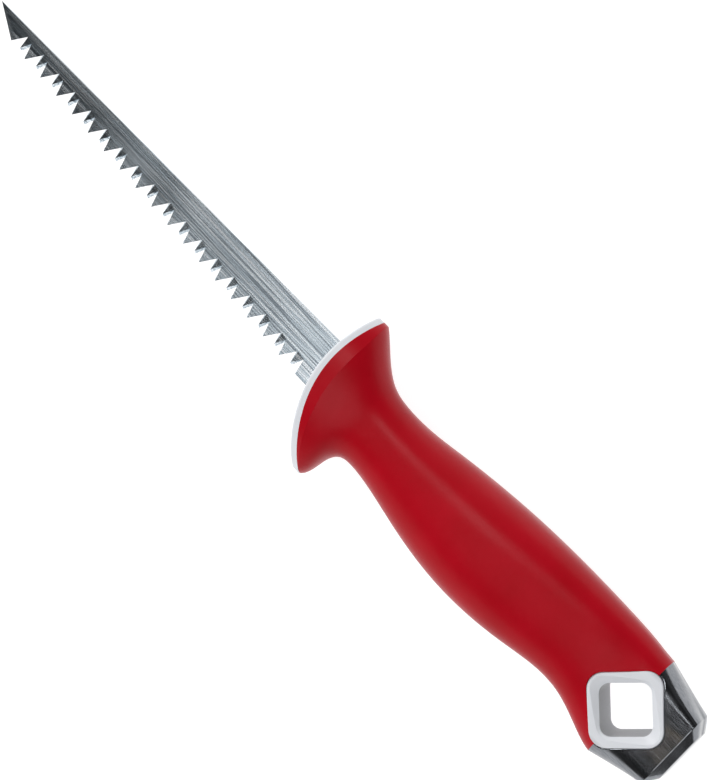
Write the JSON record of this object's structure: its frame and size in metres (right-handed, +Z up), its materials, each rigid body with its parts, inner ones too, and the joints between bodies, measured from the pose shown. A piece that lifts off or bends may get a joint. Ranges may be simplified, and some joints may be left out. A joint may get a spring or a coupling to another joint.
{
  "type": "drywall saw",
  "caption": "Drywall jab saw: pointed toothed blade in a moulded handle with an oval guard, a rubber grip, a steel strike cap and a diamond hang hole.",
  "frame": {"origin": "centre of the bounding box in X and Y, on the surface that the saw lies on with its broad side down", "axes": "+X from the blade's tip to the butt, +Y towards the blade's spine side, +Z up out of the other broad side"},
  "size_m": [0.3228, 0.0532, 0.032],
  "materials": {
    "blade_steel": "brushed lengthwise, ground bevels",
    "pin_steel": "plain turned",
    "core_plastic": "light grey moulded, fine matte",
    "grip_rubber": "red, fine matte grain",
    "cap_steel": "polished, fine lengthwise brushing",
    "sleeve_plastic": "light grey moulded, fine matte"
  },
  "bodies": {
    "root": {"saw_blade": "blade_steel", "tang_pins": "pin_steel", "handle_core": "core_plastic", "grip_overmould": "grip_rubber", "end_cap": "cap_steel", "hang_sleeve_front": "sleeve_plastic", "hang_sleeve_back": "sleeve_plastic"}
  },
  "joints": []
}
